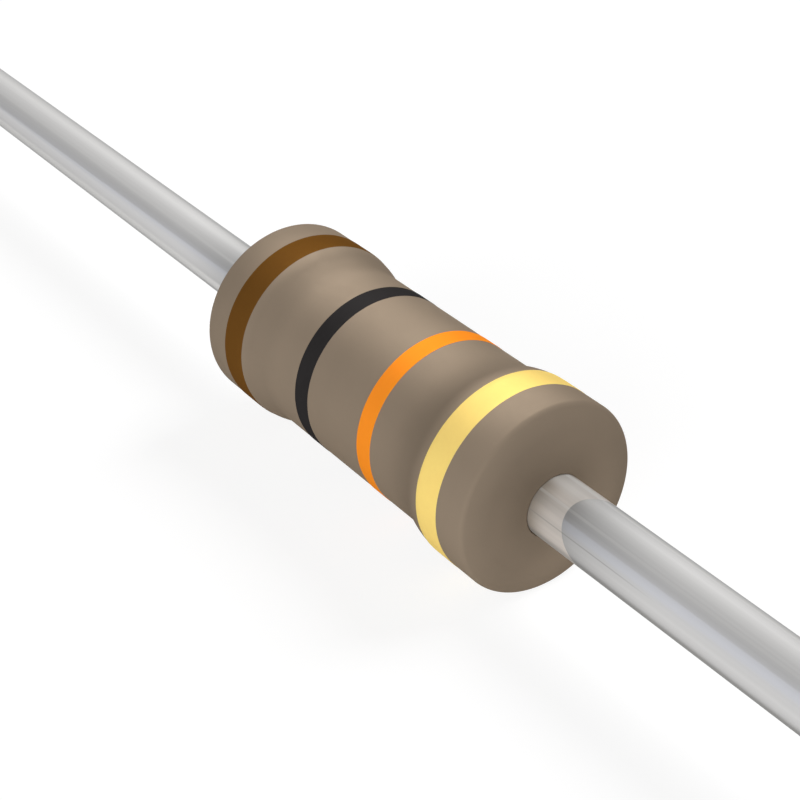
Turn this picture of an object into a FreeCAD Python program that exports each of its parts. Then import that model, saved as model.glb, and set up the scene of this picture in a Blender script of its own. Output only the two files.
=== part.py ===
import FreeCAD, Part
import Sketcher
import math
import os
import re

# Carbon film resistor with axial leads, in millimetres.
# The origin is the middle of the body, on the axis of the leads, and +X runs along the leads.

# Driving dimensions: alias, value, what it measures. The part is built up from the rod outwards.
DRIVING = [
    ("rod_length", 3.14, "ceramic rod"),
    ("rod_diameter", 1.15, "ceramic rod"),
    ("rod_edge", 0.05, "chamfer ground on the rod's edges, which the film follows"),
    ("film_thickness", 0.02, "carbon film, drawn thick enough to be a solid"),
    ("groove_width", 0.12, "trimming groove, along the axis"),
    ("groove_bite", 0.03, "depth of the groove in the ceramic"),
    ("groove_pitch", 0.4, "advance of the groove in one turn"),
    ("groove_margin", 0.22, "whole film left between the groove and each end cap"),
    ("cap_wall", 0.1, "sheet thickness of the end caps"),
    ("cap_depth", 0.59, "inside depth of the end caps"),
    ("cap_edge", 0.12, "broken edge round the closed end of the caps"),
    ("weld_bead", 0.05, "metal pushed out round the weld, which stays on the cap"),
    ("lead_diameter", 0.51, "tinned wire"),
    ("lead_length", 28, "wire outside the lacquer"),
    ("lead_tip_chamfer", 0.04, "edge broken by the cut at the free end"),
    ("side_cover", 0.105, "lacquer over the sides of the end caps"),
    ("face_cover", 0.135, "lacquer over the faces of the end caps"),
    ("waist_drop", 0.0665, "step down from the swellings to the waist"),
    ("barrel_length", 0.528, "swelling at its full diameter, back from the end face"),
    ("shoulder_radius", 0.706, "convex arc that takes the swelling down to the waist"),
    ("rim_depth", 0.093, "rounded rim of the end face, along the axis"),
    ("rim_width", 0.215, "rounded rim of the end face, across the axis"),
    ("rim_tight", 0.06, "radius of the tighter of the two arcs that make the rim"),
    ("paint_thickness", 0.02, "colour bands"),
    ("brown_inset", 0.465, "middle of the brown band from the left end face"),
    ("brown_width", 0.261, "brown band"),
    ("black_offset", 0.416, "middle of the black band, left of the body's middle"),
    ("black_width", 0.184, "black band"),
    ("orange_offset", 0.459, "middle of the orange band, right of the body's middle"),
    ("orange_width", 0.178, "orange band"),
    ("gold_inset", 0.463, "middle of the gold band from the right end face"),
    ("gold_width", 0.25, "gold band"),
]

# Worked-out dimensions: alias, formula, what it gives.
DERIVED = [
    ("rod_end", "rod_length / 2", "end face of the rod"),
    ("rod_radius", "rod_diameter / 2", "rod"),
    ("film_end", "rod_end + film_thickness", "end face of the film"),
    ("film_radius", "rod_radius + film_thickness", "outside of the film"),
    ("cap_mouth", "film_end - cap_depth", "mouth of the end cap"),
    ("cap_face", "film_end + cap_wall", "outside face of the end cap"),
    ("cap_radius", "film_radius + cap_wall", "outside of the end cap"),
    ("groove_end", "cap_mouth - groove_margin - groove_width / 2", "middle of the groove where it ends"),
    ("groove_floor", "rod_radius - groove_bite", "bottom of the groove"),
    ("groove_reach", "film_radius + film_thickness", "cutter's reach outside the film"),
    ("lead_radius", "lead_diameter / 2", "tinned wire"),
    ("bead_radius", "lead_radius + weld_bead", "outside of the weld bead"),
    ("bead_end", "cap_face + weld_bead", "where the weld bead ends on the wire"),
    ("coat_end", "cap_face + face_cover", "end face of the lacquer"),
    ("lead_tip", "coat_end + lead_length", "free end of the wire"),
    ("barrel_radius", "cap_radius + side_cover", "swelling"),
    ("barrel_start", "coat_end - barrel_length", "inner end of the swelling"),
    ("waist_radius", "barrel_radius - waist_drop", "waist"),
    ("waist_end", "barrel_start - sqrt(shoulder_radius ^ 2 - (shoulder_radius - waist_drop) ^ 2)",
     "corner below the shoulder"),
    ("rim_start", "coat_end - rim_depth", "end of the straight swelling"),
    ("rim_edge", "barrel_radius - rim_width", "edge of the flat end face"),
    ("rim_flat",
     "(rim_width ^ 2 - 2 * rim_width * rim_tight + rim_depth ^ 2) / (2 * (rim_depth - rim_tight))",
     "radius of the flatter of the rim's two arcs, tangent to the end face"),
    ("rim_stretch", "rim_flat / (rim_flat - rim_tight)", "ratio of radii where the rim's arcs meet"),
    ("rim_joint_x", "coat_end - rim_flat + rim_stretch * (rim_flat - rim_depth)",
     "where the rim's arcs meet"),
    ("rim_joint_r", "rim_edge + rim_stretch * (rim_width - rim_tight)", "where the rim's arcs meet"),
    ("brown_place", "brown_inset - coat_end", "middle of the brown band"),
    ("black_place", "-black_offset", "middle of the black band"),
    ("orange_place", "orange_offset", "middle of the orange band"),
    ("gold_place", "coat_end - gold_inset", "middle of the gold band"),
]

# Colour bands, in reading order.
BANDS = ["brown", "black", "orange", "gold"]

# How far apart faces may lie and still count as one when the groove is cut, well under the film.
GROOVE_TOLERANCE = 1e-6

# Side of a profile's edge on which an arc has its centre, looking along the edge.
LEFT = 1
RIGHT = -1

doc = FreeCAD.newDocument("CarbonFilmResistor")
sizes = doc.addObject("Spreadsheet::Sheet", "Sizes")


# The sheet and its formulas

def fill_sheet():
    """Write every dimension into the sheet, one row each."""
    rows = [(alias, str(value), note) for alias, value, note in DRIVING]
    rows += [(alias, "=" + formula, note) for alias, formula, note in DERIVED]
    for row, (alias, content, note) in enumerate(rows, start=1):
        sizes.set("A%d" % row, note)
        sizes.set("B%d" % row, content)
        sizes.setAlias("B%d" % row, alias)
    doc.recompute()


def in_sheet(formula):
    """The formula with each alias pointed at the sheet."""
    aliases = {row[0] for row in DRIVING + DERIVED}
    return re.sub(r"[a-z_]+", lambda word: "Sizes." * (word[0] in aliases) + word[0], formula)


def value(formula):
    return float(sizes.evalExpression(in_sheet(formula)))


# Profiles: lists of corners in the half plane above the axis.
# A corner is (x, r), or (x, r, radius, side) where an arc leaves it. x, r and radius are formulas.

def flipped(path):
    """The same corners at the other end of the part."""
    return [("-(%s)" % corner[0], corner[1]) + tuple(corner[2:3]) + tuple(-side for side in corner[3:])
            for corner in path]


def backwards(path):
    """The same corners from the last to the first."""
    turned = []
    for index in range(len(path) - 1, -1, -1):
        arc = path[index - 1][2:] if index > 0 else ()
        turned.append(path[index][:2] + tuple(arc[:1]) + tuple(-side for side in arc[1:]))
    return turned


def both_ends(half):
    """A right-hand half with its mirror image before it."""
    return backwards(flipped(half)) + half


def arc_between(start, end, radius, side):
    """Sketch arc between two points, which always runs anticlockwise about its centre."""
    chord = end.sub(start)
    rise = math.sqrt(max(radius ** 2 - chord.Length ** 2 / 4, 0))
    across = FreeCAD.Vector(-chord.y, chord.x, 0).normalize()
    centre = start.add(chord.multiply(0.5)).add(across.multiply(rise * side))
    first, last = (start, end) if side == LEFT else (end, start)
    angles = [math.atan2(point.y - centre.y, point.x - centre.x) for point in (first, last)]
    return Part.ArcOfCircle(Part.Circle(centre, FreeCAD.Vector(0, 0, 1), radius), *angles)


def bind(sketch, name, formula, *constraint):
    """Add a constraint and let its value follow the formula."""
    index = sketch.addConstraint(Sketcher.Constraint(*constraint, value(formula)))
    sketch.renameConstraint(index, name)
    sketch.setExpression("Constraints." + name, in_sheet(formula))


def draw(sketch, path):
    """Closed sketch of a profile, with each corner and radius bound to the sheet."""
    places = [FreeCAD.Vector(value(corner[0]), value(corner[1]), 0) for corner in path]
    edges = []
    for index, corner in enumerate(path):
        start, end = places[index], places[(index + 1) % len(path)]
        if len(corner) == 2:
            edges.append((sketch.addGeometry(Part.LineSegment(start, end)), 1, 2))
            continue
        edge = sketch.addGeometry(arc_between(start, end, value(corner[2]), corner[3]))
        bind(sketch, "radius%d" % index, corner[2], "Radius", edge)
        edges.append((edge, 1, 2) if corner[3] == LEFT else (edge, 2, 1))
    for index, corner in enumerate(path):
        edge, start, _ = edges[index]
        before, _, end = edges[index - 1]
        sketch.addConstraint(Sketcher.Constraint("Coincident", before, end, edge, start))
        bind(sketch, "x%d" % index, corner[0], "DistanceX", -1, 1, edge, start)
        if corner[1] == "0":
            sketch.addConstraint(Sketcher.Constraint("PointOnObject", edge, start, -1))
        else:
            bind(sketch, "r%d" % index, corner[1], "DistanceY", -1, 1, edge, start)


# Bodies

def origin_part(body, role):
    """Plane or axis of the body's own origin."""
    return next(item for item in body.Origin.OriginFeatures if item.Role == role)


def new_sketch(body, name, path):
    sketch = body.newObject("Sketcher::SketchObject", name)
    sketch.AttachmentSupport = [(origin_part(body, "XY_Plane"), "")]
    sketch.MapMode = "FlatFace"
    draw(sketch, path)
    return sketch


def turned_body(name, path):
    """Body turned about the axis of the leads."""
    body = doc.addObject("PartDesign::Body", name)
    body.Label = name
    sketch = new_sketch(body, name + "_profile", path)
    turn = body.newObject("PartDesign::Revolution", name + "_turn")
    turn.Profile = sketch
    turn.ReferenceAxis = (sketch, ["H_Axis"])
    turn.Angle = 360
    doc.recompute()
    return body


def wind(body, kind):
    """Helical groove of a body, or the rib of lacquer that fills it."""
    sketch = new_sketch(body, body.Name + "_groove_section", [
        ("-groove_end - groove_width / 2", "groove_floor"),
        ("-groove_end + groove_width / 2", "groove_floor"),
        ("-groove_end + groove_width / 2", "groove_reach"),
        ("-groove_end - groove_width / 2", "groove_reach"),
    ])
    helix = body.newObject(kind, body.Name + "_groove")
    helix.Profile = sketch
    helix.ReferenceAxis = (origin_part(body, "X_Axis"), [""])
    helix.Mode = "pitch-height-angle"
    helix.Tolerance = GROOVE_TOLERANCE
    helix.setExpression("Pitch", in_sheet("groove_pitch"))
    helix.setExpression("Height", in_sheet("2 * groove_end"))
    doc.recompute()


# Outlines that pieces share, from the middle of the part to its right end

ROD_OUTLINE = [
    ("rod_end - rod_edge", "rod_radius"),
    ("rod_end", "rod_radius - rod_edge"),
    ("rod_end", "0"),
]
FILM_OUTLINE = [
    ("film_end - rod_edge", "film_radius"),
    ("film_end", "film_radius - rod_edge"),
    ("film_end", "0"),
]
CAP_OUTLINE = [
    ("cap_mouth", "film_radius"),
    ("cap_mouth", "cap_radius"),
    ("cap_face - cap_edge", "cap_radius"),
    ("cap_face", "cap_radius - cap_edge"),
    ("cap_face", "bead_radius"),
    ("bead_end", "lead_radius"),
]
SIDE_OUTLINE = [
    ("waist_end", "waist_radius", "shoulder_radius", RIGHT),
    ("barrel_start", "barrel_radius"),
    ("rim_start", "barrel_radius"),
]
RIM_OUTLINE = [
    ("rim_start", "barrel_radius", "rim_tight", RIGHT),
    ("rim_joint_x", "rim_joint_r", "rim_flat", RIGHT),
    ("coat_end", "rim_edge"),
    ("coat_end", "lead_radius"),
]


# Pieces

def make_rod():
    """Ceramic rod with the groove cut into it."""
    rod = turned_body("ceramic_rod", both_ends(ROD_OUTLINE))
    wind(rod, "PartDesign::SubtractiveHelix")
    return rod


def make_film():
    """Carbon film all over the rod, cut through by the groove."""
    film = turned_body("carbon_film", both_ends(FILM_OUTLINE) + backwards(both_ends(ROD_OUTLINE)))
    wind(film, "PartDesign::SubtractiveHelix")
    return film


def make_caps():
    """Drawn steel cups that grip the ends of the filmed rod, each with its weld bead."""
    cup = CAP_OUTLINE + [("cap_face", "lead_radius"), ("cap_face", "0")] + backwards(FILM_OUTLINE)
    return [turned_body("end_cap_left", flipped(cup)), turned_body("end_cap_right", cup)]


def make_leads():
    """Straight round wires, each butt-welded to its cap."""
    wire = [
        ("cap_face", "0"),
        ("cap_face", "lead_radius"),
        ("lead_tip - lead_tip_chamfer", "lead_radius"),
        ("lead_tip", "lead_radius - lead_tip_chamfer"),
        ("lead_tip", "0"),
    ]
    return [turned_body("lead_left", flipped(wire)), turned_body("lead_right", wire)]


def make_lacquer():
    """Lacquer round everything but the leads, with the rib that fills the groove."""
    lacquer = turned_body("lacquer",
                          both_ends(SIDE_OUTLINE[:-1] + RIM_OUTLINE) + backwards(both_ends(CAP_OUTLINE)))
    wind(lacquer, "PartDesign::AdditiveHelix")
    return lacquer


def make_bands():
    """Paint rings: slices of a skin that follows the side of the body and ends flush with it."""
    sunk = [(corner[0], corner[1] + " - paint_thickness") + corner[2:] for corner in SIDE_OUTLINE]
    skin = turned_body("skin", both_ends(SIDE_OUTLINE) + backwards(both_ends(sunk)))
    bands = []
    for number, colour in enumerate(BANDS, start=1):
        slab = doc.addObject("Part::Cylinder", colour + "_slab")
        slab.Placement.Rotation = FreeCAD.Rotation(FreeCAD.Vector(0, 0, 1), FreeCAD.Vector(1, 0, 0))
        slab.setExpression("Radius", in_sheet("barrel_radius + paint_thickness"))
        slab.setExpression("Height", in_sheet(colour + "_width"))
        slab.setExpression("Placement.Base.x", in_sheet("%s_place - %s_width / 2" % (colour, colour)))
        name = "band_%d_%s" % (number, colour)
        band = doc.addObject("Part::Common", name)
        band.Label = name
        band.Base = skin
        band.Tool = slab
        bands.append(band)
    return bands


def make_coating(bands):
    """The lacquer, with a seat for each band."""
    seats = doc.addObject("Part::Compound", "band_seats")
    seats.Links = bands
    coating = doc.addObject("Part::Cut", "coating")
    coating.Label = "coating"
    coating.Base = make_lacquer()
    coating.Tool = seats
    doc.recompute()
    return coating


def check(pieces):
    """Stop if any object failed or any piece isn't one sound solid."""
    for item in doc.Objects:
        if {"Invalid", "Error"} & set(item.State):
            raise RuntimeError("%s failed: %s" % (item.Label, item.State))
    for piece in pieces:
        shape = piece.Shape
        if shape.isNull() or not shape.isValid() or len(shape.Solids) != 1:
            raise RuntimeError("%s is not one sound solid" % piece.Label)


def export(pieces):
    os.makedirs("parts", exist_ok=True)
    for piece in pieces:
        piece.Shape.exportStep("parts/%s.step" % piece.Label)


fill_sheet()
bands = make_bands()
pieces = [make_rod(), make_film(), make_coating(bands)] + make_caps() + make_leads() + bands
check(pieces)
export(pieces)
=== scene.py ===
import math
import random

import bpy
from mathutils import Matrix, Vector


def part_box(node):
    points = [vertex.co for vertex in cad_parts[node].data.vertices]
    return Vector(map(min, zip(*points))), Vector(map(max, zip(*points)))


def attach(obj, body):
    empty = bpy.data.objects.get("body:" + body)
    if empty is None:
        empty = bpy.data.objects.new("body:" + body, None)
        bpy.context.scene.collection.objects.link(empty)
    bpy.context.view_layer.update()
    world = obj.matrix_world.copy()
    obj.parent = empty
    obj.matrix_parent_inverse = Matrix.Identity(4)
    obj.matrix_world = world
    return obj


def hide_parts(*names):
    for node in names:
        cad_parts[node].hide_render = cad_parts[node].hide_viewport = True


# Axial carbon film resistor, in metres, in the frame of the CAD model:
# the origin is the middle of the body and +X runs along the leads.

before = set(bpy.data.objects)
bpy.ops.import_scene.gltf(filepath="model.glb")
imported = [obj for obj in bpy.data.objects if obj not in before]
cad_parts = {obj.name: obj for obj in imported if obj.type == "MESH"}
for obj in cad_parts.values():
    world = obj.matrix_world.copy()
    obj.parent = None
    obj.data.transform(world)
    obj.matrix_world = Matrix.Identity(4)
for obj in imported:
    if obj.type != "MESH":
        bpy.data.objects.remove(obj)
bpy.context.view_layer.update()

MM = 0.001

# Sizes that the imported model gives
coat_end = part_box("coating")[1].x            # end face of the lacquer
barrel_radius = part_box("coating")[1].z       # swellings at the ends
waist_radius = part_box("band_2_black")[1].z   # waist
lead_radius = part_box("lead_right")[1].z      # wires
lead_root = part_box("lead_right")[0].x        # wire's inner end, on the face of its cap
lead_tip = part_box("lead_right")[1].x         # wire's free end
cap_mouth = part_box("end_cap_right")[0].x     # inner end of the end caps
cap_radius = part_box("end_cap_right")[1].z    # outside of the end caps
film_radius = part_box("carbon_film")[1].z     # outside of the carbon film

# Sizes of the body's outline, as in the CAD
BARREL_LENGTH = 0.528 * MM                   # swelling at its full diameter
SHOULDER_RADIUS = 0.706 * MM                 # arc from the swelling down to the waist
RIM_DEPTH = 0.093 * MM                       # rounded rim of the end face, along the axis
RIM_WIDTH = 0.215 * MM                       # the same, across the axis
RIM_TIGHT = 0.06 * MM                        # the tighter of the rim's two arcs

# Small forms that only the looks need
LIP_RADIUS = 0.014 * MM                      # lacquer rounding in to the wire
FACE_DOME = 0.045 * MM                       # lacquer drawn up round the wire
BAND_HEIGHT = 0.0025 * MM                    # paint above the lacquer
BAND_ROOT = 0.012 * MM                       # paint below the lacquer's surface
BAND_SINK = 0.001 * MM                       # depth at which a band's edge starts
BAND_EDGE = 0.006 * MM                       # rounded edge of a band, along the axis
BAND_EDGE_MIDDLE = (0.4, 0.7)                # a point on it, as shares of edge and height
BAND_WANDER = 0.0025 * MM                    # how far a band's edge strays
TIP_DOME = 0.05 * MM                         # rounded edge of the cut wire
TIP_CROWN = 0.004 * MM                       # ring left on the cut by the cutter

# Steps that the outlines are divided into
ROUND = 256                                  # round the axis
WAIST_STEPS = 24
SHOULDER_STEPS = 24
BARREL_STEPS = 12
RIM_TIGHT_STEPS = 12
RIM_FLAT_STEPS = 16
FACE_STEPS = 8
LIP_STEPS = 6
BAND_STEPS = 20
BAND_WAVES = 24                              # waves in the stray of a band's edge, from 2 up
WAVE_FADE = 0.25                             # how fast they weaken
WIRE_STEPS = 28
TIP_STEPS = 8
CROWN_STEPS = 4

# Soft shading: how far the normals lean along the axis, the same at both ends
LEAN_START = 0.6 * MM                        # on the side, the lean to the middle sets in
LEAN_MOST = 1.1 * MM                         # it is greatest, on the shoulder
LEAN_NONE = 1.3 * MM                         # it is gone, at the start of the swelling
LEAN_RIM = 1.73 * MM                         # the lean to the end is full, by the rim
LEAN_SHOULDER = math.radians(-24)
LEAN_END = math.radians(14)
LEAN_POWER = 1.3                             # how late the lean to the middle grows
FACE_LEAN = math.radians(3.5)                # outwards, at the edge of the end face's flat

# Slack that tells neighbouring rings of points apart
ON_AXIS = 1e-9                               # a point nearer than this is on the axis
TURN_SLACK = 1e-3                            # radians
SIDE_SLACK = 0.001 * MM
LIP_SLACK = 0.01 * LIP_RADIUS
BAND_TOP = 0.9 * BAND_HEIGHT                 # a band's points above this are on its top


# Mesh helpers

def add_mesh(name, points, faces, smooth=True):
    """Object made of the given points and faces, joined to the scene."""
    mesh = bpy.data.meshes.new(name)
    mesh.from_pydata(points, [], faces)
    mesh.validate()
    mesh.update()
    for polygon in mesh.polygons:
        polygon.use_smooth = smooth
    piece = bpy.data.objects.new(name, mesh)
    bpy.context.scene.collection.objects.link(piece)
    return piece


def lathe(name, outline, wander=None):
    """Turn an outline of (x, r) about the X axis. One clear of the axis makes a ring."""
    points, faces, rings = [], [], []
    for index, (x, r) in enumerate(outline):
        if r < ON_AXIS:
            points.append((x, 0.0, 0.0))
            rings.append([len(points) - 1] * ROUND)
            continue
        start = len(points)
        for step in range(ROUND):
            angle = 2 * math.pi * step / ROUND
            shift = wander(index, angle) if wander else 0.0
            points.append((x + shift, r * math.cos(angle), r * math.sin(angle)))
        rings.append(list(range(start, start + ROUND)))
    closed = outline[0][1] > ON_AXIS and outline[-1][1] > ON_AXIS
    pairs = len(rings) if closed else len(rings) - 1
    for index in range(pairs):
        a, b = rings[index], rings[(index + 1) % len(rings)]
        for step in range(ROUND):
            after = (step + 1) % ROUND
            corners = [a[step], a[after], b[after], b[step]]
            face = [c for i, c in enumerate(corners) if c != corners[i - 1]]
            if len(face) > 2:
                faces.append(face)
    return add_mesh(name, points, faces)


def arc(centre, radius, start, end, steps):
    """Points on an arc, with angles in radians from the +X direction."""
    angles = [start + (end - start) * i / steps for i in range(steps + 1)]
    return [(centre[0] + radius * math.cos(a), centre[1] + radius * math.sin(a))
            for a in angles]


def mirrored(points):
    return [(-x, r) for x, r in reversed(points)]


# Outline of the lacquer

barrel_start = coat_end - BARREL_LENGTH
waist_drop = barrel_radius - waist_radius
waist_end = barrel_start - math.sqrt(SHOULDER_RADIUS ** 2 - (SHOULDER_RADIUS - waist_drop) ** 2)
rim_start = coat_end - RIM_DEPTH
rim_edge = barrel_radius - RIM_WIDTH
rim_flat = ((RIM_WIDTH ** 2 - 2 * RIM_WIDTH * RIM_TIGHT + RIM_DEPTH ** 2)
            / (2 * (RIM_DEPTH - RIM_TIGHT)))                         # the rim's flatter arc
rim_turn = math.atan2(RIM_WIDTH - RIM_TIGHT, rim_flat - RIM_DEPTH)   # where the arcs meet
lip_edge = lead_radius + LIP_RADIUS


def side_radius(x):
    """Radius of the lacquer's side at a place along the axis."""
    x = abs(x)
    if x >= barrel_start:
        return barrel_radius
    if x <= waist_end:
        return waist_radius
    fall = math.sqrt(SHOULDER_RADIUS ** 2 - (barrel_start - x) ** 2)
    return barrel_radius - SHOULDER_RADIUS + fall


def face_place(share):
    """Place of the end face along the axis, from its rim (0) to the wire (1)."""
    return coat_end + FACE_DOME * share ** 2


def right_half():
    """Lacquer from the middle of the waist to the wire at the right end."""
    points = [(waist_end * i / WAIST_STEPS, waist_radius) for i in range(WAIST_STEPS)]
    for i in range(SHOULDER_STEPS + 1):
        x = waist_end + (barrel_start - waist_end) * i / SHOULDER_STEPS
        points.append((x, side_radius(x)))
    points += [(barrel_start + (rim_start - barrel_start) * i / BARREL_STEPS, barrel_radius)
               for i in range(1, BARREL_STEPS)]
    points += arc((rim_start, barrel_radius - RIM_TIGHT), RIM_TIGHT,
                  math.pi / 2, rim_turn, RIM_TIGHT_STEPS)
    points += arc((coat_end - rim_flat, rim_edge), rim_flat, rim_turn, 0, RIM_FLAT_STEPS)[1:]
    points += [(face_place(i / FACE_STEPS), rim_edge + (lip_edge - rim_edge) * i / FACE_STEPS)
               for i in range(1, FACE_STEPS)]
    lip_start = coat_end + FACE_DOME - LIP_RADIUS
    for i in range(LIP_STEPS + 1):
        a = math.pi / 2 * i / LIP_STEPS
        points.append((lip_start + LIP_RADIUS * math.cos(a), lip_edge - LIP_RADIUS * math.sin(a)))
    return points


# Shading normals

def lean(x):
    """Angle that the side's normal leans along the axis, positive towards its own end."""
    x = abs(x)
    if x <= LEAN_START:
        return 0.0
    if x <= LEAN_MOST:
        return LEAN_SHOULDER * ((x - LEAN_START) / (LEAN_MOST - LEAN_START)) ** LEAN_POWER
    if x <= LEAN_NONE:
        return LEAN_SHOULDER * (LEAN_NONE - x) / (LEAN_NONE - LEAN_MOST)
    return LEAN_END * (x - LEAN_NONE) / (LEAN_RIM - LEAN_NONE)


def face_tilt(x, r):
    """Angle that the end face's normal leans outwards from the axis, rim included."""
    if r <= rim_edge:
        return FACE_LEAN * (r - lip_edge) / (rim_edge - lip_edge)
    steep = rim_turn - math.atan2(r - rim_edge, abs(x) - (coat_end - rim_flat))
    return rim_turn - steep * (1 - FACE_LEAN / rim_turn)


def shade_softly(piece, side_least, face_too=False):
    """Set the shading normals of the side outside a radius, and of the end faces if asked."""
    tight_turn = math.pi / 2 - rim_turn
    lean_rim = lean(rim_start)
    normals = []
    for vertex in piece.data.vertices:
        x, y, z = vertex.co
        r = math.hypot(y, z)
        turn = math.atan2(abs(x) - rim_start, r - (barrel_radius - RIM_TIGHT))
        if r > side_least and turn < tight_turn - TURN_SLACK:
            tilt = lean(x) if turn <= TURN_SLACK else max(lean_rim, turn)
            axial, radial = math.sin(tilt), math.cos(tilt)
        elif face_too and abs(x) > rim_start and r > lip_edge + LIP_SLACK:
            tilt = face_tilt(x, r)
            axial, radial = math.cos(tilt), math.sin(tilt)
        else:
            normals.append((0.0, 0.0, 0.0))  # keeps Blender's own normal
            continue
        normals.append((math.copysign(1.0, x) * axial, radial * y / r, radial * z / r))
    piece.data.normals_split_custom_set_from_vertices(normals)


# Lacquer: the skin outside, and the hollow for the rod and caps inside

half = right_half()
inside = [(lead_root, lead_radius), (lead_root, cap_radius),
          (cap_mouth, cap_radius), (cap_mouth, film_radius)]
coat = lathe("coating_skin", mirrored(half)[:-1] + half + inside + mirrored(inside))
shade_softly(coat, waist_radius - SIDE_SLACK, face_too=True)


# Colour bands: a ring of paint that follows the lacquer, with soft edges that stray a little

def smooth_waves(seed):
    """A slow, seeded wave round the axis, within -1 to 1."""
    draw = random.Random(seed)
    waves = [(k, draw.uniform(-1, 1) / (1 + WAVE_FADE * k), draw.uniform(0, 2 * math.pi))
             for k in range(2, BAND_WAVES)]
    total = sum(abs(size) for _, size, _ in waves)
    return lambda angle: sum(size * math.sin(k * angle + phase) for k, size, phase in waves) / total


def band(name, node, seed):
    """Ring of paint in the place of a node of the CAD model."""
    low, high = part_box(node)[0].x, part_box(node)[1].x
    along, up = BAND_EDGE_MIDDLE
    outline = [(low, side_radius(low) - BAND_ROOT),
               (low, side_radius(low) - BAND_SINK),
               (low + BAND_EDGE * along, side_radius(low) + BAND_HEIGHT * up)]
    for i in range(BAND_STEPS + 1):
        x = low + BAND_EDGE + (high - low - 2 * BAND_EDGE) * i / BAND_STEPS
        outline.append((x, side_radius(x) + BAND_HEIGHT))
    outline += [(high - BAND_EDGE * along, side_radius(high) + BAND_HEIGHT * up),
                (high, side_radius(high) - BAND_SINK),
                (high, side_radius(high) - BAND_ROOT)]
    first, last = smooth_waves(seed), smooth_waves(seed + 1)

    def wander(index, angle):
        share = (outline[index][0] - low) / (high - low)
        return BAND_WANDER * ((1 - share) * first(angle) + share * last(angle))

    ring = lathe(name, outline, wander)
    shade_softly(ring, waist_radius + BAND_TOP)
    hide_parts(node)
    return ring


bands = {
    "brown_paint": band("band_brown", "band_1_brown", seed=11),
    "black_paint": band("band_black", "band_2_black", seed=21),
    "orange_paint": band("band_orange", "band_3_orange", seed=31),
    "gold_paint": band("band_gold", "band_4_gold", seed=41),
}


# Wires

def wire(name, side):
    """Wire from its cap to its cut tip, at the right end (1) or the left (-1)."""
    outline = [(lead_root, 0.0), (lead_root, lead_radius)]
    reach = lead_tip - TIP_DOME - coat_end
    outline += [(coat_end + reach * i / WIRE_STEPS, lead_radius) for i in range(WIRE_STEPS + 1)]
    outline += arc((lead_tip - TIP_DOME, lead_radius - TIP_DOME), TIP_DOME,
                   math.pi / 2, 0, TIP_STEPS)[1:]
    outline += [(lead_tip + TIP_CROWN * math.sin(math.pi * i / CROWN_STEPS),
                 (lead_radius - TIP_DOME) * (1 - i / CROWN_STEPS))
                for i in range(1, CROWN_STEPS + 1)]
    return lathe(name, outline if side > 0 else mirrored(outline))


wires = [wire("wire_left", -1), wire("wire_right", 1)]


# Material helpers

MIX_SHARE, MIX_FIRST, MIX_SECOND, MIX_RESULT = 0, 6, 7, 2    # sockets of a colour Mix node
WHITE = (1.0, 1.0, 1.0, 1.0)
BLACK = (0.0, 0.0, 0.0, 1.0)


def new_material(name):
    material = bpy.data.materials.new(name)
    material.use_nodes = True
    tree = material.node_tree
    return material, tree, tree.nodes["Principled BSDF"]


def add_node(tree, kind, **settings):
    made = tree.nodes.new(kind)
    for key, setting in settings.items():
        setattr(made, key, setting)
    return made


def feed(tree, source, socket):
    """Set a socket to a number or colour, or link it to another node's output."""
    if isinstance(source, (int, float, tuple)):
        socket.default_value = source
    else:
        tree.links.new(source, socket)


def object_place(tree, scale=(1, 1, 1)):
    """The place on the object, scaled along each axis."""
    where = add_node(tree, "ShaderNodeTexCoord")
    mapping = add_node(tree, "ShaderNodeMapping")
    mapping.inputs["Scale"].default_value = scale
    tree.links.new(where.outputs["Object"], mapping.inputs["Vector"])
    return mapping.outputs["Vector"]


def axes_of(tree, place):
    """A place's X, Y and Z."""
    parts = add_node(tree, "ShaderNodeSeparateXYZ")
    tree.links.new(place, parts.inputs[0])
    return parts.outputs["X"], parts.outputs["Y"], parts.outputs["Z"]


def noise(tree, place, scale, detail, rough):
    made = add_node(tree, "ShaderNodeTexNoise")
    made.inputs["Scale"].default_value = scale
    made.inputs["Detail"].default_value = detail
    made.inputs["Roughness"].default_value = rough
    tree.links.new(place, made.inputs["Vector"])
    return made.outputs["Fac"]


def to_range(tree, source, span, result=(0.0, 1.0), kind="LINEAR"):
    """A value carried over from one span to another, and held at its ends."""
    made = add_node(tree, "ShaderNodeMapRange", interpolation_type=kind)
    for key, number in zip(("From Min", "From Max", "To Min", "To Max"), span + result):
        made.inputs[key].default_value = number
    tree.links.new(source, made.inputs["Value"])
    return made.outputs["Result"]


def between(tree, source, low, high):
    """0 below a value, rising smoothly to 1 above another."""
    return to_range(tree, source, (low, high), kind="SMOOTHSTEP")


def maths(tree, operation, *sources):
    made = add_node(tree, "ShaderNodeMath", operation=operation)
    for index, source in enumerate(sources):
        feed(tree, source, made.inputs[index])
    return made.outputs[0]


def rest_of(tree, share):
    """What is left of 1."""
    return maths(tree, "SUBTRACT", 1.0, share)


def weigh(tree, first, first_share, second, second_share):
    """Two values added up by their shares."""
    return maths(tree, "ADD", maths(tree, "MULTIPLY", first, first_share),
                 maths(tree, "MULTIPLY", second, second_share))


def mirror_ray(tree, path):
    """1 for a ray that a glossy or clear surface sends on."""
    return maths(tree, "MAXIMUM", path.outputs["Is Glossy Ray"],
                 path.outputs["Is Transmission Ray"])


def blend_colours(tree, share, first, second):
    made = add_node(tree, "ShaderNodeMix", data_type="RGBA")
    feed(tree, share, made.inputs[MIX_SHARE])
    feed(tree, first, made.inputs[MIX_FIRST])
    feed(tree, second, made.inputs[MIX_SECOND])
    return made.outputs[MIX_RESULT]


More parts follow.
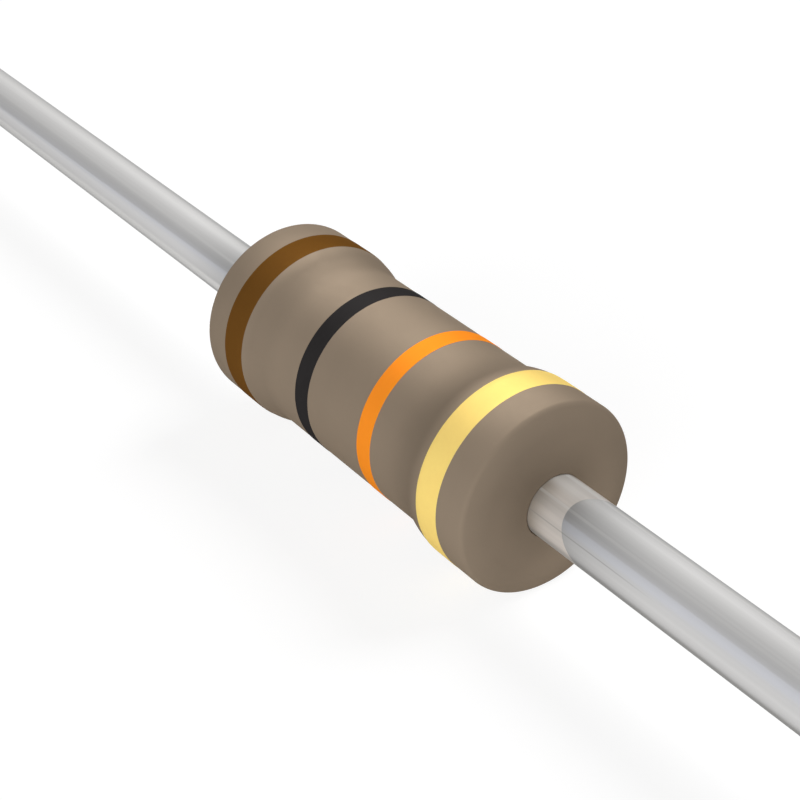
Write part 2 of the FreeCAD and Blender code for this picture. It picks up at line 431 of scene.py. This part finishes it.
def tone(red, green, blue):
    """A colour written as it looks on a screen, 0 to 255, as the linear values that nodes take."""
    def linear(level):
        level /= 255
        return level / 12.92 if level <= 0.04045 else ((level + 0.055) / 1.055) ** 2.4
    return (linear(red), linear(green), linear(blue), 1.0)


def scaled(colour, factor):
    return tuple(min(c * factor, 1.0) for c in colour[:3]) + (1.0,)


def bump(tree, shader, height, distance):
    made = add_node(tree, "ShaderNodeBump")
    made.inputs["Distance"].default_value = distance
    made.inputs["Strength"].default_value = 1.0
    tree.links.new(height, made.inputs["Height"])
    tree.links.new(made.outputs["Normal"], shader.inputs["Normal"])


# Looks that the materials share

NOISE_SPAN = (0.3, 0.7)                      # values that noise mostly keeps to
NARROW_SPAN = (0.35, 0.65)                   # a narrower span, for more contrast
GLOSS_TINT = (0.4, 0.4, 0.4, 1.0)            # keeps the gloss from lighting up the outlines

# Looks of the coats, lacquer and paint

CLOUDS = (2200.0, 3.0, 0.55)                 # noise, as its scale, detail and roughness
SPECKS = (26000.0, 2.0, 0.6)
CLOUD_SHARE, SPECK_SHARE = 0.7, 0.3
COAT_ROUGH = 0.58
COAT_ROUGH_SPREAD = 0.05
LACQUER_GRAIN, PAINT_GRAIN = 16000.0, 20000.0    # scale of the orange peel
PEEL_DETAIL, PEEL_ROUGH = 2.0, 0.5
PEEL_HEIGHT = 0.0006 * MM
HOLLOW = 0.09                                # painted shade in the shoulders' hollows: darker by this share
HOLLOW_START = (0.75 * MM, 1.02 * MM)        # where along the axis that sets in
HOLLOW_FADE = (1.12 * MM, 1.25 * MM)         # and where it fades out
WIRE_SHADE = 0.13                                # painted shade on the end faces round the wire: darker by this share
WIRE_SHADE_REACH = 0.56 * MM                     # radius where that ends
WIRE_SHADE_SINK = 0.01 * MM                      # depth below the end face where it sets in

# Looks of the wires

BROAD_SCALE = (60.0, 9000.0, 9000.0)         # streaks, drawn out along the wire
THIN_SCALE = (150.0, 42000.0, 42000.0)
BROAD_NOISE = (1.0, 2.0, 0.5)
THIN_NOISE = (1.0, 2.0, 0.6)
BROAD_SHARE, THIN_SHARE = 0.6, 0.4
TIN_DARK, TIN_PALE = (211, 210, 209), (222, 221, 220)
DULL_ROUGH = (0.43, 0.49)
BRIGHT_ROUGH = (0.02, 0.05)
BRIGHT_SHARE = 0.28                          # share of the tin that is bright
STREAK_HEIGHT = 0.0004 * MM
# dark tone of the die score and of the painted shade, and pale tone of the painted highlights
SCORE_AND_SHADE_TONE = (140, 138, 134)
PAINTED_HIGHLIGHT_TONE = (235, 234, 232)
WHOLE = 40.0 * MM                            # reach of a line that runs on to the tip

# Lines along the wires: the first is a score that the die left, the others are painted shade
# and painted highlights where light falls on the wire. Each has its place and half-width in
# degrees, from +Y towards +Z, its reach along the wire, its strength (dark above 0, pale below) and
# its end.
SCORE_AND_PAINTED_LIGHT = (
    (163.0, 1.6, 3.3 * MM, 0.45, "right"),
    (125.0, 3.4, WHOLE, -0.28, "both"),
    (165.0, 13.0, WHOLE, 0.12, "right"),
    (100.0, 12.0, WHOLE, 0.07, "right"),
    (67.5, 8.0, WHOLE, -0.45, "right"),
    (-144.0, 26.0, WHOLE, 0.55, "right"),
    (134.0, 16.0, 2.4 * MM, 0.28, "right"),
    (79.0, 34.0, 2.45 * MM, -0.5, "right"),
    (-168.0, 14.0, WHOLE, -1.0, "left"),
    (81.0, 20.0, WHOLE, -0.3, "left"))
LINE_CORE = 0.4                              # share of a line's width at full strength
LINE_FADE = 0.8                              # share of its reach before it fades

# Painted reflection of the body's end face on the wire beside the body, with painted shade next to
# the body
REFLECTION_END = 2.186 * MM                        # where the painted reflection ends, at its shortest
REFLECTION_SKEW = 0.2 * MM                         # how much further it goes at the sides
REFLECTION_SIDE = 123.0                            # side on which it is shortest
REFLECTION_EDGE = 0.004 * MM                       # softness of its edge
REFLECTION_SHADE = 0.3 * MM                        # reach of the painted shade on it, next to the body
REFLECTION_SHADE_POWER = 1.5
# colours of the painted reflection, and of the painted shade next to the body
REFLECTION_TONE = (208, 201, 194)
REFLECTION_MOTTLE = (0.92, 1.06)
REFLECTION_SHADE_TONE = (150, 140, 128)
REFLECTION_METAL = 0.3                             # share of the tin's metal kept under the painted reflection
TIN_SHADE = 0.32                               # painted shade on the tin beyond it: darker by this share
TIN_SHADE_END = 3.4 * MM                       # where that painted shade ends
TIN_SHADE_POWER = 1.8

# Looks of the caps and the rod, hidden inside

DRAWN_SCALE = (400.0, 12000.0, 12000.0)
DRAWN_NOISE = (1.0, 3.0, 0.6)
DRAWN_HEIGHT = 0.001 * MM
DRAWN_DARK = 0.85
DRAWN_ROUGH_SPREAD = 0.15
PIT_DETAIL, PIT_ROUGH = 4.0, 0.65
PIT_HEIGHT = 0.002 * MM
PIT_DARK = 0.8
PIT_ROUGH_SPREAD = 0.1


# Materials

def coated(name, colour, mottle, grain, sheen):
    """Sprayed or rolled coat: cloudy colour, painted shade, a soft sheen of its own colour, fine
    orange peel.
    """
    material, tree, shader = new_material(name)
    place = object_place(tree)
    specks = noise(tree, place, *SPECKS)
    share = weigh(tree, noise(tree, place, *CLOUDS), CLOUD_SHARE, specks, SPECK_SHARE)
    cloudy = blend_colours(tree, to_range(tree, share, NOISE_SPAN),
                           scaled(colour, 1 - mottle), scaled(colour, 1 + mottle))
    x, y, z = axes_of(tree, place)
    along = maths(tree, "ABSOLUTE", x)
    # painted shade: darker in the shoulders' hollows and on the end faces round the wire
    hollow = maths(tree, "MULTIPLY", between(tree, along, *HOLLOW_START),
                   rest_of(tree, between(tree, along, *HOLLOW_FADE)))
    radius = maths(tree, "SQRT", maths(tree, "ADD", maths(tree, "POWER", y, 2.0),
                                       maths(tree, "POWER", z, 2.0)))
    wire_shade = maths(tree, "MULTIPLY", between(tree, along, coat_end - WIRE_SHADE_SINK, coat_end),
                   rest_of(tree, between(tree, radius, lead_radius, WIRE_SHADE_REACH)))
    painted_shade = weigh(tree, hollow, HOLLOW, wire_shade, WIRE_SHADE)
    tree.links.new(blend_colours(tree, painted_shade, cloudy, BLACK), shader.inputs["Base Color"])
    rough = (COAT_ROUGH - COAT_ROUGH_SPREAD, COAT_ROUGH + COAT_ROUGH_SPREAD)
    tree.links.new(to_range(tree, specks, NOISE_SPAN, rough), shader.inputs["Roughness"])
    shader.inputs["Specular IOR Level"].default_value = 0.0
    shader.inputs["Specular Tint"].default_value = GLOSS_TINT
    shader.inputs["Metallic"].default_value = sheen
    bump(tree, shader, noise(tree, place, grain, PEEL_DETAIL, PEEL_ROUGH), PEEL_HEIGHT)
    return material


def with_score_and_painted_light(tree, colour, x, along, around):
    """A wire's colour with the die score, the painted shade and the painted highlights over it."""
    on_end = {"right": maths(tree, "GREATER_THAN", x, 0.0),
              "left": maths(tree, "LESS_THAN", x, 0.0)}
    for place, width, reach, strength, ends in SCORE_AND_PAINTED_LIGHT:
        off = maths(tree, "SUBTRACT", around, math.radians(place))
        off = maths(tree, "ABSOLUTE", maths(tree, "WRAP", off, math.pi, -math.pi))
        half_width = math.radians(width)
        line = rest_of(tree, between(tree, off, half_width * LINE_CORE, half_width))
        fade = rest_of(tree, between(tree, along, reach * LINE_FADE, reach))
        depth = maths(tree, "MULTIPLY", maths(tree, "MULTIPLY", line, fade), abs(strength))
        if ends in on_end:
            depth = maths(tree, "MULTIPLY", depth, on_end[ends])
        # dark for the score and the painted shade, pale for the painted highlights
        colour = blend_colours(tree, depth, colour,
                               tone(*(SCORE_AND_SHADE_TONE if strength > 0 else PAINTED_HIGHLIGHT_TONE)))
    return colour


def drawn_wire(name):
    """Tinned wire: dull tin with a bright share, streaks along it, a die score, painted shade and
    painted highlights, and by the body a painted reflection of the body's end face, with painted
    shade next to the body and on the tin beyond."""
    material, tree, dull = new_material(name)
    thin = noise(tree, object_place(tree, THIN_SCALE), *THIN_NOISE)
    broad = noise(tree, object_place(tree, BROAD_SCALE), *BROAD_NOISE)
    streaks = to_range(tree, weigh(tree, broad, BROAD_SHARE, thin, THIN_SHARE), NARROW_SPAN)
    x, y, z = axes_of(tree, add_node(tree, "ShaderNodeTexCoord").outputs["Object"])
    along = maths(tree, "ABSOLUTE", x)
    around = maths(tree, "ARCTAN2", z, y)

    tin = blend_colours(tree, streaks, tone(*TIN_DARK), tone(*TIN_PALE))
    # painted shade: the tin darkens towards the body
    tin_shade = maths(tree, "POWER", to_range(tree, along, (REFLECTION_END, TIN_SHADE_END), (1.0, 0.0)),
                    TIN_SHADE_POWER)
    tin = blend_colours(tree, maths(tree, "MULTIPLY", tin_shade, TIN_SHADE), tin, BLACK)

    # painted reflection of the body's end face, its edge curved as the reflection's is, with
    # painted shade next to the body
    nearness = maths(tree, "COSINE", maths(tree, "SUBTRACT", around, math.radians(REFLECTION_SIDE)))
    front = maths(tree, "SUBTRACT", REFLECTION_END + REFLECTION_SKEW,
                  maths(tree, "MULTIPLY", nearness, REFLECTION_SKEW))
    beyond = between(tree, maths(tree, "SUBTRACT", along, front), -REFLECTION_EDGE, REFLECTION_EDGE)
    painted_shade = rest_of(tree, between(tree, along, coat_end, coat_end + REFLECTION_SHADE))
    painted_reflection = blend_colours(tree, streaks, *(scaled(tone(*REFLECTION_TONE), f) for f in REFLECTION_MOTTLE))
    painted_reflection = blend_colours(tree, maths(tree, "POWER", painted_shade, REFLECTION_SHADE_POWER), painted_reflection,
                         tone(*REFLECTION_SHADE_TONE))
    colour = blend_colours(tree, rest_of(tree, beyond), tin, painted_reflection)
    # die score, painted shade and painted highlights along the wire
    colour = with_score_and_painted_light(tree, colour, x, along, around)

    bright = add_node(tree, "ShaderNodeBsdfPrincipled")
    for shader, rough in ((dull, DULL_ROUGH), (bright, BRIGHT_ROUGH)):
        tree.links.new(colour, shader.inputs["Base Color"])
        tree.links.new(to_range(tree, thin, NOISE_SPAN, rough), shader.inputs["Roughness"])
        shader.inputs["Specular IOR Level"].default_value = 0.0
        shader.inputs["Specular Tint"].default_value = GLOSS_TINT
        tree.links.new(to_range(tree, beyond, (0.0, 1.0), (REFLECTION_METAL, 1.0)),
                       shader.inputs["Metallic"])
        bump(tree, shader, thin, STREAK_HEIGHT)
    mix = add_node(tree, "ShaderNodeMixShader")
    tree.links.new(maths(tree, "MULTIPLY", beyond, BRIGHT_SHARE), mix.inputs[0])
    tree.links.new(dull.outputs[0], mix.inputs[1])
    tree.links.new(bright.outputs[0], mix.inputs[2])
    tree.links.new(mix.outputs[0], tree.nodes["Material Output"].inputs["Surface"])
    return material


def plated(name, colour, rough):
    """Plated sheet steel of the end caps, with faint marks of drawing."""
    material, tree, shader = new_material(name)
    lines = noise(tree, object_place(tree, DRAWN_SCALE), *DRAWN_NOISE)
    mixed = blend_colours(tree, to_range(tree, lines, NOISE_SPAN),
                          scaled(colour, DRAWN_DARK), colour)
    tree.links.new(mixed, shader.inputs["Base Color"])
    tree.links.new(to_range(tree, lines, NOISE_SPAN, (rough, rough + DRAWN_ROUGH_SPREAD)),
                   shader.inputs["Roughness"])
    shader.inputs["Metallic"].default_value = 1.0
    bump(tree, shader, lines, DRAWN_HEIGHT)
    return material


def fired(name, colour, rough, grain):
    """Fired ceramic or carbon: a dull, finely pitted surface."""
    material, tree, shader = new_material(name)
    pits = noise(tree, object_place(tree), grain, PIT_DETAIL, PIT_ROUGH)
    mixed = blend_colours(tree, to_range(tree, pits, NARROW_SPAN),
                          scaled(colour, PIT_DARK), colour)
    tree.links.new(mixed, shader.inputs["Base Color"])
    tree.links.new(to_range(tree, pits, NOISE_SPAN, (rough, rough + PIT_ROUGH_SPREAD)),
                   shader.inputs["Roughness"])
    bump(tree, shader, pits, PIT_HEIGHT)
    return material


finishes = {
    "lacquer": coated("lacquer", tone(142, 127, 110), 0.03, LACQUER_GRAIN, sheen=0.15),
    "brown_paint": coated("brown_paint", tone(106, 71, 30), 0.05, PAINT_GRAIN, sheen=0.11),
    "black_paint": coated("black_paint", tone(47, 45, 45), 0.10, PAINT_GRAIN, sheen=0.11),
    "orange_paint": coated("orange_paint", tone(252, 147, 42), 0.03, PAINT_GRAIN, sheen=0.12),
    "gold_paint": coated("gold_paint", tone(254, 220, 127), 0.05, PAINT_GRAIN, sheen=0.1),
    "tinned_wire": drawn_wire("tinned_wire"),
    "cap_steel": plated("cap_steel", tone(205, 205, 202), rough=0.3),
    "ceramic": fired("ceramic", tone(236, 233, 226), rough=0.7, grain=30000.0),
    "carbon": fired("carbon", tone(58, 58, 60), rough=0.6, grain=40000.0),
}

dressed = [("lacquer", coat), ("tinned_wire", wires[0]), ("tinned_wire", wires[1])]
dressed += list(bands.items())
for slot_name, piece in dressed:
    piece.data.materials.append(finishes[slot_name])
    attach(piece, "root")
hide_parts("coating")
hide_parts("lead_left")
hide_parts("lead_right")

inner_slots = {"ceramic_rod": "ceramic", "carbon_film": "carbon",
               "end_cap_left": "cap_steel", "end_cap_right": "cap_steel"}
for node_name, slot_name in inner_slots.items():
    for material_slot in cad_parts[node_name].material_slots:
        material_slot.material = finishes[slot_name]


# Floor, which the body rests on

FLOOR_SIZE = 4.0
FLOOR_COLOUR = (0.8, 0.8, 0.8, 1.0)          # as it lights the part
FLOOR_ROUGH = 0.9
FLOOR_SEEN = (0.22, 0.22, 0.22, 1.0)         # as seen: the share that takes a shadow
FLOOR_GLOW = 0.86                            # and the share that doesn't

floor_points = [(x * FLOOR_SIZE / 2, y * FLOOR_SIZE / 2, -barrel_radius)
                for x, y in ((-1, -1), (1, -1), (1, 1), (-1, 1))]
floor = add_mesh("floor", floor_points, [(0, 1, 2, 3)], smooth=False)
floor_material, floor_tree, floor_shader = new_material("floor")
floor_shader.inputs["Base Color"].default_value = FLOOR_COLOUR
floor_shader.inputs["Roughness"].default_value = FLOOR_ROUGH
floor_shader.inputs["Specular IOR Level"].default_value = 0.0
pale = add_node(floor_tree, "ShaderNodeBsdfDiffuse")
pale.inputs["Color"].default_value = FLOOR_SEEN
glow = add_node(floor_tree, "ShaderNodeEmission")
glow.inputs["Color"].default_value = WHITE
glow.inputs["Strength"].default_value = FLOOR_GLOW
both = add_node(floor_tree, "ShaderNodeAddShader")
floor_tree.links.new(pale.outputs[0], both.inputs[0])
floor_tree.links.new(glow.outputs[0], both.inputs[1])
floor_path = add_node(floor_tree, "ShaderNodeLightPath")
choice = add_node(floor_tree, "ShaderNodeMixShader")
floor_tree.links.new(maths(floor_tree, "MAXIMUM", floor_path.outputs["Is Camera Ray"],
                           mirror_ray(floor_tree, floor_path)), choice.inputs[0])
floor_tree.links.new(floor_shader.outputs[0], choice.inputs[1])
floor_tree.links.new(both.outputs[0], choice.inputs[2])
floor_tree.links.new(choice.outputs[0], floor_tree.nodes["Material Output"].inputs["Surface"])
floor.data.materials.append(floor_material)


# World: white to the camera, and in reflections a soft dome, brightest low down behind the part

DOME = 0.46                                  # reflected dome away from the lights
SOFTBOX = 0.88                               # what the large softbox adds
SOFTBOX_FROM = (-0.78, 0.56, 0.25)
SOFTBOX_EDGE = 0.25                          # cosine of the angle where it starts
SOFTBOX_POWER = 2.5
OVERHEAD = 0.15                              # what the dome gains overhead
PANEL = 1.0                                  # low reflector on the near left
PANEL_FROM = (-0.24, -0.91, -0.34)
PANEL_EDGE = (0.658, 0.662)                  # cosines of the angles that its edge lies between
PANEL_COLOUR = (0.88, 0.91, 1.0, 1.0)
AMBIENT = 0.03                               # even light from the dome

world = bpy.data.worlds.new("studio")
bpy.context.scene.world = world
world.use_nodes = True
sky = world.node_tree
background = sky.nodes["Background"]
direction = add_node(sky, "ShaderNodeTexCoord").outputs["Generated"]


def facing(towards, start, end, kind="LINEAR"):
    """0 away from a direction, rising to 1 near it, between two cosines."""
    dot = add_node(sky, "ShaderNodeVectorMath", operation="DOT_PRODUCT")
    dot.inputs[1].default_value = Vector(towards).normalized()
    sky.links.new(direction, dot.inputs[0])
    return to_range(sky, dot.outputs["Value"], (start, end), kind=kind)


softbox = maths(sky, "POWER", facing(SOFTBOX_FROM, SOFTBOX_EDGE, 1.0), SOFTBOX_POWER)
panel = facing(PANEL_FROM, *PANEL_EDGE, kind="SMOOTHSTEP")
overhead = facing((0, 0, 1), 0.0, 1.0)
dome = maths(sky, "ADD", DOME, weigh(sky, softbox, SOFTBOX, overhead, OVERHEAD))
shown = weigh(sky, dome, rest_of(sky, panel), panel, PANEL)
path = add_node(sky, "ShaderNodeLightPath")
level = maths(sky, "ADD", AMBIENT, maths(sky, "MULTIPLY", mirror_ray(sky, path),
                                         maths(sky, "SUBTRACT", shown, AMBIENT)))
level = maths(sky, "MAXIMUM", level, path.outputs["Is Camera Ray"])
sky.links.new(level, background.inputs["Strength"])
sky.links.new(blend_colours(sky, panel, WHITE, PANEL_COLOUR), background.inputs["Color"])


# Lamps

# A key above and behind, on the right, a fill on the near left, whose light the wires don't block,
# and a sheen lamp above the far end, for the gloss of the coats alone. A lamp's level is what it
# gives to a surface square to it, where 1 shows a colour as written. Its spread is in degrees.
KEY_FROM, KEY_LEVEL, KEY_SPREAD = (0.049, 0.687, 0.725), 0.66, 30
FILL_FROM, FILL_LEVEL, FILL_SPREAD = (0.46, -0.845, 0.274), 0.85, 40
SHEEN_FROM, SHEEN_LEVEL, SHEEN_SPREAD = (-0.528, 0.314, 0.7895), 2.15, 60


def lamp(name, towards, level, spread):
    """Sun lamp that shines from a direction."""
    data = bpy.data.lights.new(name, "SUN")
    data.energy = math.pi * level
    data.angle = math.radians(spread)
    made = bpy.data.objects.new(name, data)
    made.rotation_euler = Vector(towards).to_track_quat("Z", "Y").to_euler()
    bpy.context.scene.collection.objects.link(made)
    return made


def collected(name, pieces):
    """Collection that a lamp's light linking names."""
    made = bpy.data.collections.new(name)
    for piece in pieces:
        made.objects.link(piece)
    return made


key_lamp = lamp("key", KEY_FROM, KEY_LEVEL, KEY_SPREAD)
key_lamp.visible_glossy = False

fill_lamp = lamp("fill", FILL_FROM, FILL_LEVEL, FILL_SPREAD)
fill_lamp.visible_glossy = False
fill_lamp.light_linking.blocker_collection = collected(
    "fill_blockers", [coat, floor] + list(bands.values()))

sheen_lamp = lamp("sheen", SHEEN_FROM, SHEEN_LEVEL, SHEEN_SPREAD)
sheen_lamp.visible_diffuse = False
sheen_lamp.light_linking.receiver_collection = collected(
    "coated_pieces", [coat] + list(bands.values()))


# Camera at the photograph's viewing angle

CAMERA_PLACE = (10.0587 * MM, -7.1659 * MM, 7.5656 * MM)
CAMERA_ABOVE = 31.6189                       # degrees above the horizon
CAMERA_ROUND = 54.7687                       # degrees round from the front
CAMERA_LENS = 81.47                          # millimetres, as is the sensor's width
CAMERA_SENSOR = 36.0
CAMERA_NEAR, CAMERA_FAR = 0.3 * MM, 20.0

camera_data = bpy.data.cameras.new("camera")
camera = bpy.data.objects.new("camera", camera_data)
bpy.context.scene.collection.objects.link(camera)
camera_data.lens = CAMERA_LENS
camera_data.sensor_width = CAMERA_SENSOR
camera_data.clip_start = CAMERA_NEAR
camera_data.clip_end = CAMERA_FAR
camera.location = CAMERA_PLACE
camera.rotation_euler = (math.radians(90 - CAMERA_ABOVE), 0.0, math.radians(CAMERA_ROUND))
bpy.context.scene.camera = camera

bpy.context.scene.view_settings.view_transform = "Standard"
